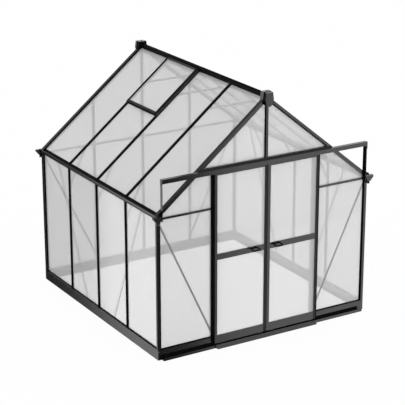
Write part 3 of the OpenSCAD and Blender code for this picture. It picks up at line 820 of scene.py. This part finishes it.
class GREENHOUSE_OT_finishes(bpy.types.Operator):
    """Make the finishes and put them on the CAD nodes"""

    bl_idname = "greenhouse.finishes"
    bl_label = "Finishes"

    def execute(self, context):
        finish = context.scene.greenhouse_finishes
        # Anthracite, near black
        painted = powder_coat("powder_coated_aluminium", finish.frame_colour, finish.frame_shade)
        # The ramp under the doors, made paler all over: a painted reflection of the studio on its sloping
        # face
        sill = powder_coat("sill_coat_painted_reflection", finish.sill_colour, finish.sill_shade)
        # Polished caps and outlets, less shiny black strips that paint shade on the door stiles, dull
        # handles
        plastic = black_plastic("moulded_black_polypropylene", roughness=0.14, specular=0.9)
        black_plastic("extruded_pvc_trim", roughness=0.14, specular=0.3)
        nylon = black_plastic("dull_black_nylon", roughness=0.5, specular=0.12)
        side_panes = twin_wall("twin_wall_polycarbonate_side", "Y")
        end_panes = twin_wall("twin_wall_polycarbonate_end", "X")
        seal_rubber()
        plated_steel()
        for name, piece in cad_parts.items():
            if name in END_PANES:
                put_on(piece, end_panes)
            elif name.endswith("_panels") or name == "vent_panel":
                put_on(piece, side_panes)
            elif name in PLASTIC_NODES:
                put_on(piece, plastic)
            elif name.endswith("_door_handle"):
                put_on(piece, nylon)
            elif name == "door_threshold":
                put_on(piece, sill)
            else:
                put_on(piece, painted)
        return {"FINISHED"}


# ---- Floor, light and camera ----


class GREENHOUSE_OT_stage(bpy.types.Operator):
    """Add the floor, the studio light and the camera"""

    bl_idname = "greenhouse.stage"
    bl_label = "Stage"

    def execute(self, context):
        add_floor()
        light_world(context.scene)
        add_camera(context.scene)
        context.scene.view_settings.view_transform = "Standard"
        return {"FINISHED"}


def add_floor():
    """A pale paper floor. The eye sees it nearly white, with the greenhouse's shadow left in the rest."""
    width, white_share = 80.0, 0.95
    bpy.ops.object.select_all(action="DESELECT")
    bpy.ops.mesh.primitive_plane_add(size=width, location=(0, 0, 0))
    floor = bpy.context.object
    floor.name = "studio_floor"
    floor.visible_glossy = False
    material, tree, place = new_material("studio_floor_paper", "#ffffff")
    path = add_node(tree, "ShaderNodeLightPath").outputs
    tint = clouded(tree, place, 500 * MM, 2.0, "#f4f4f4", "#fafafa")
    paper = add_node(tree, "ShaderNodeBsdfDiffuse", {"Color": tint})
    white = add_node(tree, "ShaderNodeEmission", {"Color": WHITE, "Strength": 1.0})
    seen = add_node(tree, "ShaderNodeMath", {
        0: path["Is Camera Ray"], 1: path["Is Transmission Ray"],
    }, operation="MAXIMUM")
    share = add_node(tree, "ShaderNodeMath", {
        0: seen.outputs["Value"], 1: white_share,
    }, operation="MULTIPLY")
    surface = add_node(tree, "ShaderNodeMixShader", {
        "Fac": share.outputs["Value"], 1: paper.outputs["BSDF"], 2: white.outputs["Emission"],
    })
    add_node(tree, "ShaderNodeOutputMaterial", {"Surface": surface.outputs["Shader"]})
    put_on(floor, material)


def light_world(scene):
    """A white studio. What the gloss sees is a soft band of light on two sides and dark cards between."""
    world = bpy.data.worlds.new("studio")
    scene.world = world
    tree = blank_tree(world)
    studio = scene.greenhouse_studio
    path = add_node(tree, "ShaderNodeLightPath").outputs
    way = add_node(tree, "ShaderNodeTexCoord").outputs["Generated"]

    def past(direction, start, end):
        """1 where the view of the studio is past a line square to the direction, 0 before it."""
        along = add_node(tree, "ShaderNodeVectorMath", {0: way, 1: direction}, operation="DOT_PRODUCT")
        return add_node(tree, "ShaderNodeMapRange", {
            "Value": along.outputs["Value"], "From Min": start, "From Max": end,
        }, interpolation_type="SMOOTHSTEP").outputs["Result"]

    # Sines between which a band fades out at its far end, the horizon rises and the ceiling begins
    far_end, horizon, ceiling = (-0.35, -0.2), (0.0, 0.02), (0.35, 0.5)

    def band(edge, half):
        """1 in the band of light that ends at a compass bearing, in one half of the studio."""
        square = (-math.cos(edge), math.sin(edge), 0)
        inside = past(square, -studio.edge_softness, studio.edge_softness)
        return add_node(tree, "ShaderNodeMath", {
            0: inside, 1: past(half, *far_end),
        }, operation="MULTIPLY").outputs["Value"]

    bands = add_node(tree, "ShaderNodeMath", {
        0: band(studio.right_edge, -Y_AXIS), 1: band(studio.left_edge, Y_AXIS),
    }, operation="MAXIMUM")
    low = add_node(tree, "ShaderNodeMapRange", {
        "Value": bands.outputs["Value"], "To Min": studio.dark_level, "To Max": studio.band_level,
    }).outputs["Result"]
    high = add_node(tree, "ShaderNodeMapRange", {
        "Value": past(Z_AXIS, *ceiling), "To Min": studio.horizon_level, "To Max": studio.ceiling_level,
    }).outputs["Result"]
    above = past(Z_AXIS, *horizon)
    mirrored = add_node(tree, "ShaderNodeMix", {"Factor": above, "A": low, "B": high}, data_type="FLOAT")
    soft_light = add_node(tree, "ShaderNodeBackground", {"Color": WHITE, "Strength": studio.fill})
    gloss = add_node(tree, "ShaderNodeBackground", {
        "Color": WHITE, "Strength": mirrored.outputs["Result"],
    })
    white = add_node(tree, "ShaderNodeBackground", {"Color": WHITE, "Strength": 1.0})
    lit = add_node(tree, "ShaderNodeMixShader", {
        "Fac": path["Is Glossy Ray"], 1: soft_light.outputs["Background"], 2: gloss.outputs["Background"],
    })
    seen = add_node(tree, "ShaderNodeMath", {
        0: path["Is Camera Ray"], 1: path["Is Transmission Ray"],
    }, operation="MAXIMUM")
    surface = add_node(tree, "ShaderNodeMixShader", {
        "Fac": seen.outputs["Value"], 1: lit.outputs["Shader"], 2: white.outputs["Background"],
    })
    add_node(tree, "ShaderNodeOutputWorld", {"Surface": surface.outputs["Shader"]})


def add_camera(scene):
    """The camera, turned by its bearing, dip and roll."""
    view = scene.greenhouse_view
    ahead = math.cos(view.dip)
    forward = Vector((math.sin(view.azimuth) * ahead, math.cos(view.azimuth) * ahead, -math.sin(view.dip)))
    right = forward.cross(Z_AXIS).normalized()
    up = right.cross(forward)
    side = right * math.cos(view.roll) + up * math.sin(view.roll)
    top = up * math.cos(view.roll) - right * math.sin(view.roll)
    turn = Matrix((side, top, -forward)).transposed().to_4x4()
    data = bpy.data.cameras.new("camera")
    data.sensor_width = 36.0
    data.lens = view.lens
    data.clip_end = 200.0
    camera = bpy.data.objects.new("camera", data)
    scene.collection.objects.link(camera)
    camera.matrix_world = Matrix.Translation(Vector(view.place)) @ turn
    scene.camera = camera


# ---- Settings ----


class GreenhouseFinishes(bpy.types.PropertyGroup):
    """Colours of the finishes, and how milky the glazing is"""

    frame_colour: bpy.props.StringProperty(
        name="Frame colour", description="Powder coat of the frame, as an sRGB hex value", default="#111112"
    )
    frame_shade: bpy.props.StringProperty(
        name="Frame shade", description="The powder coat's darker clouds", default="#0d0d0e"
    )
    # The sill colour is paler than the frame's as a painted reflection of the studio on the ramp's slope
    sill_colour: bpy.props.StringProperty(
        name="Sill colour", description="Powder coat of the door's ramp, paler as a painted reflection", default="#48494a"
    )
    sill_shade: bpy.props.StringProperty(
        name="Sill shade", description="The ramp's darker clouds", default="#414243"
    )
    # The plastic colour also makes the strips that paint shade on the door stiles
    plastic_colour: bpy.props.StringProperty(
        name="Plastic colour", description="Caps, outlets, painted shade strips, handles and runners", default="#111213"
    )
    plastic_shade: bpy.props.StringProperty(
        name="Plastic shade", description="The plastic's darker clouds", default="#0c0d0e"
    )
    rubber_colour: bpy.props.StringProperty(
        name="Rubber colour", description="The seals, as an sRGB hex value", default="#070707"
    )
    rubber_bloom: bpy.props.StringProperty(
        name="Rubber bloom", description="The rubber's greyer, weathered clouds", default="#0d0d0d"
    )
    glazing_colour: bpy.props.StringProperty(
        name="Glazing colour", description="Light that the glazing scatters, as an sRGB hex value",
        default="#fafafa",
    )
    haze: bpy.props.FloatProperty(
        name="Haze", description="Share of the light that each of a sheet's faces scatters",
        default=0.44, min=0.0, max=1.0, subtype="FACTOR",
    )
    scatter_through: bpy.props.FloatProperty(
        name="Scatter through", description="Share of the scattered light that goes on through the sheet",
        default=0.5, min=0.0, max=1.0, subtype="FACTOR",
    )
    rib_pitch: bpy.props.FloatProperty(
        name="Rib pitch", description="Distance between the drawn ribs of the glazing",
        default=24 * MM, min=4 * MM, max=100 * MM, unit="LENGTH",
    )
    rib_contrast: bpy.props.FloatProperty(
        name="Rib contrast", description="How much more the ribs scatter than the gaps between them",
        default=0.01, min=0.0, max=0.2, subtype="FACTOR",
    )


class GreenhouseSeals(bpy.types.PropertyGroup):
    """Sizes of the seals, covers and fasteners"""

    roof_pitch: bpy.props.FloatProperty(
        name="Roof pitch", description="Pitch of the roof that the seals lie on",
        default=math.radians(39), subtype="ANGLE",
    )
    post_lip: bpy.props.FloatProperty(
        name="Post lip", description="Width of the seals' lips beside the side posts",
        default=13 * MM, min=THINNEST, unit="LENGTH",
    )
    base_lip: bpy.props.FloatProperty(
        name="Base lip", description="Width of the seals' lips over the base",
        default=9 * MM, min=THINNEST, unit="LENGTH",
    )
    corner_lip: bpy.props.FloatProperty(
        name="Corner lip", description="Width of the end walls' lips by the corners and the gable post",
        default=17 * MM, min=THINNEST, unit="LENGTH",
    )
    gable_lip: bpy.props.FloatProperty(
        name="Gable lip", description="Width of the end walls' other upright lips",
        default=10 * MM, min=THINNEST, unit="LENGTH",
    )
    vent_edge: bpy.props.FloatProperty(
        name="Vent edge", description="Width of the strip on the vent's lower bar",
        default=4 * MM, min=THINNEST, unit="LENGTH",
    )
    roof_lip: bpy.props.FloatProperty(
        name="Roof lip", description="Width of the lips beside the roof bars",
        default=16 * MM, min=THINNEST, unit="LENGTH",
    )
    verge_lip: bpy.props.FloatProperty(
        name="Verge lip", description="Width of the roof seals' lips beside the end rafters",
        default=6 * MM, min=THINNEST, unit="LENGTH",
    )
    bead_width: bpy.props.FloatProperty(
        name="Bead width", description="Width of the beads on the corner posts and door jambs",
        default=11 * MM, min=THINNEST, unit="LENGTH",
    )
    bead_thickness: bpy.props.FloatProperty(
        name="Bead thickness", description="Thickness of the beads and edge seals",
        default=2 * MM, min=THINNEST, unit="LENGTH",
    )
    skin_thickness: bpy.props.FloatProperty(
        name="Cover thickness", description="Thickness of the covers on a profile",
        default=1 * MM, min=THINNEST, unit="LENGTH",
    )
    # The clip width is the width of the painted shadow line under the right front rafter
    shadow_line_width: bpy.props.FloatProperty(
        name="Shadow line width", description="Width of the painted shadow line under the right front rafter",
        default=11 * MM, min=THINNEST, unit="LENGTH",
    )
    cover_height: bpy.props.FloatProperty(
        name="Rafter cover height", description="Height of the rafters' cover strips",
        default=2 * MM, min=THINNEST, unit="LENGTH",
    )
    bulb_width: bpy.props.FloatProperty(
        name="Bulb width", description="Width of the bulb seal under the vent's lower bar",
        default=13 * MM, min=THINNEST, unit="LENGTH",
    )
    flange_width: bpy.props.FloatProperty(
        name="Vent flange", description="Width of the lower bar's flange on the vent's pane",
        default=7 * MM, min=THINNEST, unit="LENGTH",
    )
    vent_flange: bpy.props.FloatProperty(
        name="Vent side flange", description="Width of the vent's flange over the front roof bar",
        default=30 * MM, min=THINNEST, unit="LENGTH",
    )
    vent_lip: bpy.props.FloatProperty(
        name="Vent lip", description="Width of the seal on the vent's pane beside its back bar",
        default=6 * MM, min=THINNEST, unit="LENGTH",
    )
    stile_seal: bpy.props.FloatProperty(
        name="Stile seal", description="Width of the edge seals on the leaves' outer stiles",
        default=8 * MM, min=THINNEST, unit="LENGTH",
    )
    bolt_width: bpy.props.FloatProperty(
        name="Bolt width", description="Width across the bolt heads' flats",
        default=10 * MM, min=THINNEST, unit="LENGTH",
    )
    lip_thickness: bpy.props.FloatProperty(
        name="Lip thickness", description="Thickness of the seals' lips",
        default=2 * MM, min=THINNEST, unit="LENGTH",
    )
    leg_thickness: bpy.props.FloatProperty(
        name="Leg thickness", description="Thickness of the seals' legs beside a profile",
        default=1.5 * MM, min=THINNEST, unit="LENGTH",
    )


class GreenhouseStudio(bpy.types.PropertyGroup):
    """Brightness of the studio, and what its gloss mirrors"""

    fill: bpy.props.FloatProperty(
        name="Soft light", description="Strength of the even studio light", default=1.0, min=0.0, max=4.0
    )
    right_edge: bpy.props.FloatProperty(
        name="Right band edge", description="Compass bearing at which the right band of light ends",
        default=math.radians(148.6), subtype="ANGLE",
    )
    left_edge: bpy.props.FloatProperty(
        name="Left band edge", description="Compass bearing at which the left band of light begins",
        default=math.radians(-27.2), subtype="ANGLE",
    )
    edge_softness: bpy.props.FloatProperty(
        name="Edge softness", description="Half width of the bands' soft edges, as a sine",
        default=0.002, min=0.0005, max=0.5,
    )
    band_level: bpy.props.FloatProperty(
        name="Band level", description="Brightness of the bands of light", default=1.1, min=0.0, max=4.0
    )
    dark_level: bpy.props.FloatProperty(
        name="Dark level", description="Brightness of the dark cards", default=0.0, min=0.0, max=1.0
    )
    horizon_level: bpy.props.FloatProperty(
        name="Horizon level", description="Brightness of the low backdrop", default=1.1, min=0.0, max=4.0
    )
    ceiling_level: bpy.props.FloatProperty(
        name="Ceiling level", description="Brightness of the ceiling", default=0.3, min=0.0, max=4.0
    )


class GreenhouseView(bpy.types.PropertyGroup):
    """Place, direction and lens of the camera"""

    place: bpy.props.FloatVectorProperty(
        name="Camera place", description="Where the camera stands, from the middle of the greenhouse",
        default=(-7.9092, -13.0848, 6.3345), size=3, subtype="TRANSLATION", unit="LENGTH",
    )
    azimuth: bpy.props.FloatProperty(
        name="Azimuth", description="Compass bearing of the view, from +Y towards +X",
        default=math.radians(31.1955), subtype="ANGLE",
    )
    dip: bpy.props.FloatProperty(
        name="Dip", description="How far the camera looks down",
        default=math.radians(19.1008), subtype="ANGLE",
    )
    roll: bpy.props.FloatProperty(
        name="Roll", description="Roll of the camera", default=math.radians(-0.0416), subtype="ANGLE"
    )
    lens: bpy.props.FloatProperty(
        name="Lens", description="Focal length in millimetres, on a 36 mm wide sensor",
        default=137.01, subtype="DISTANCE_CAMERA",
    )


# ---- Panel and registration ----


class GREENHOUSE_PT_sidebar(bpy.types.Panel):
    """Sidebar panel with one button for each group of pieces"""

    bl_idname = "GREENHOUSE_PT_sidebar"
    bl_label = "Greenhouse"
    bl_space_type = "VIEW_3D"
    bl_region_type = "UI"
    bl_category = "Greenhouse"

    def draw(self, context):
        for group in SETTINGS:
            for name in SETTINGS[group].__annotations__:
                self.layout.prop(getattr(context.scene, group), name)
        for step in STEPS:
            self.layout.operator(step.bl_idname)


SETTINGS = {
    "greenhouse_finishes": GreenhouseFinishes,
    "greenhouse_seals": GreenhouseSeals,
    "greenhouse_studio": GreenhouseStudio,
    "greenhouse_view": GreenhouseView,
}
STEPS = (
    GREENHOUSE_OT_finishes, GREENHOUSE_OT_side_seals, GREENHOUSE_OT_end_seals, GREENHOUSE_OT_roof_seals,
    GREENHOUSE_OT_rafter_covers, GREENHOUSE_OT_ridge_and_gutters, GREENHOUSE_OT_vent_trim,
    GREENHOUSE_OT_door_seals, GREENHOUSE_OT_fasteners, GREENHOUSE_OT_stage,
)


CLASSES = (*SETTINGS.values(), *STEPS, GREENHOUSE_PT_sidebar)


def register():
    for cls in CLASSES:
        bpy.utils.register_class(cls)
    for name, group in SETTINGS.items():
        setattr(bpy.types.Scene, name, bpy.props.PointerProperty(type=group))


def unregister():
    for name in SETTINGS:
        delattr(bpy.types.Scene, name)
    for cls in reversed(CLASSES):
        bpy.utils.unregister_class(cls)


def main():
    """Builds the greenhouse's scene."""
    register()
    bpy.ops.greenhouse.finishes()
    bpy.ops.greenhouse.side_seals()
    bpy.ops.greenhouse.end_seals()
    bpy.ops.greenhouse.roof_seals()
    bpy.ops.greenhouse.rafter_covers()
    bpy.ops.greenhouse.ridge_and_gutters()
    bpy.ops.greenhouse.vent_trim()
    bpy.ops.greenhouse.door_seals()
    bpy.ops.greenhouse.fasteners()
    bpy.ops.greenhouse.stage()


if __name__ == "__main__":
    main()
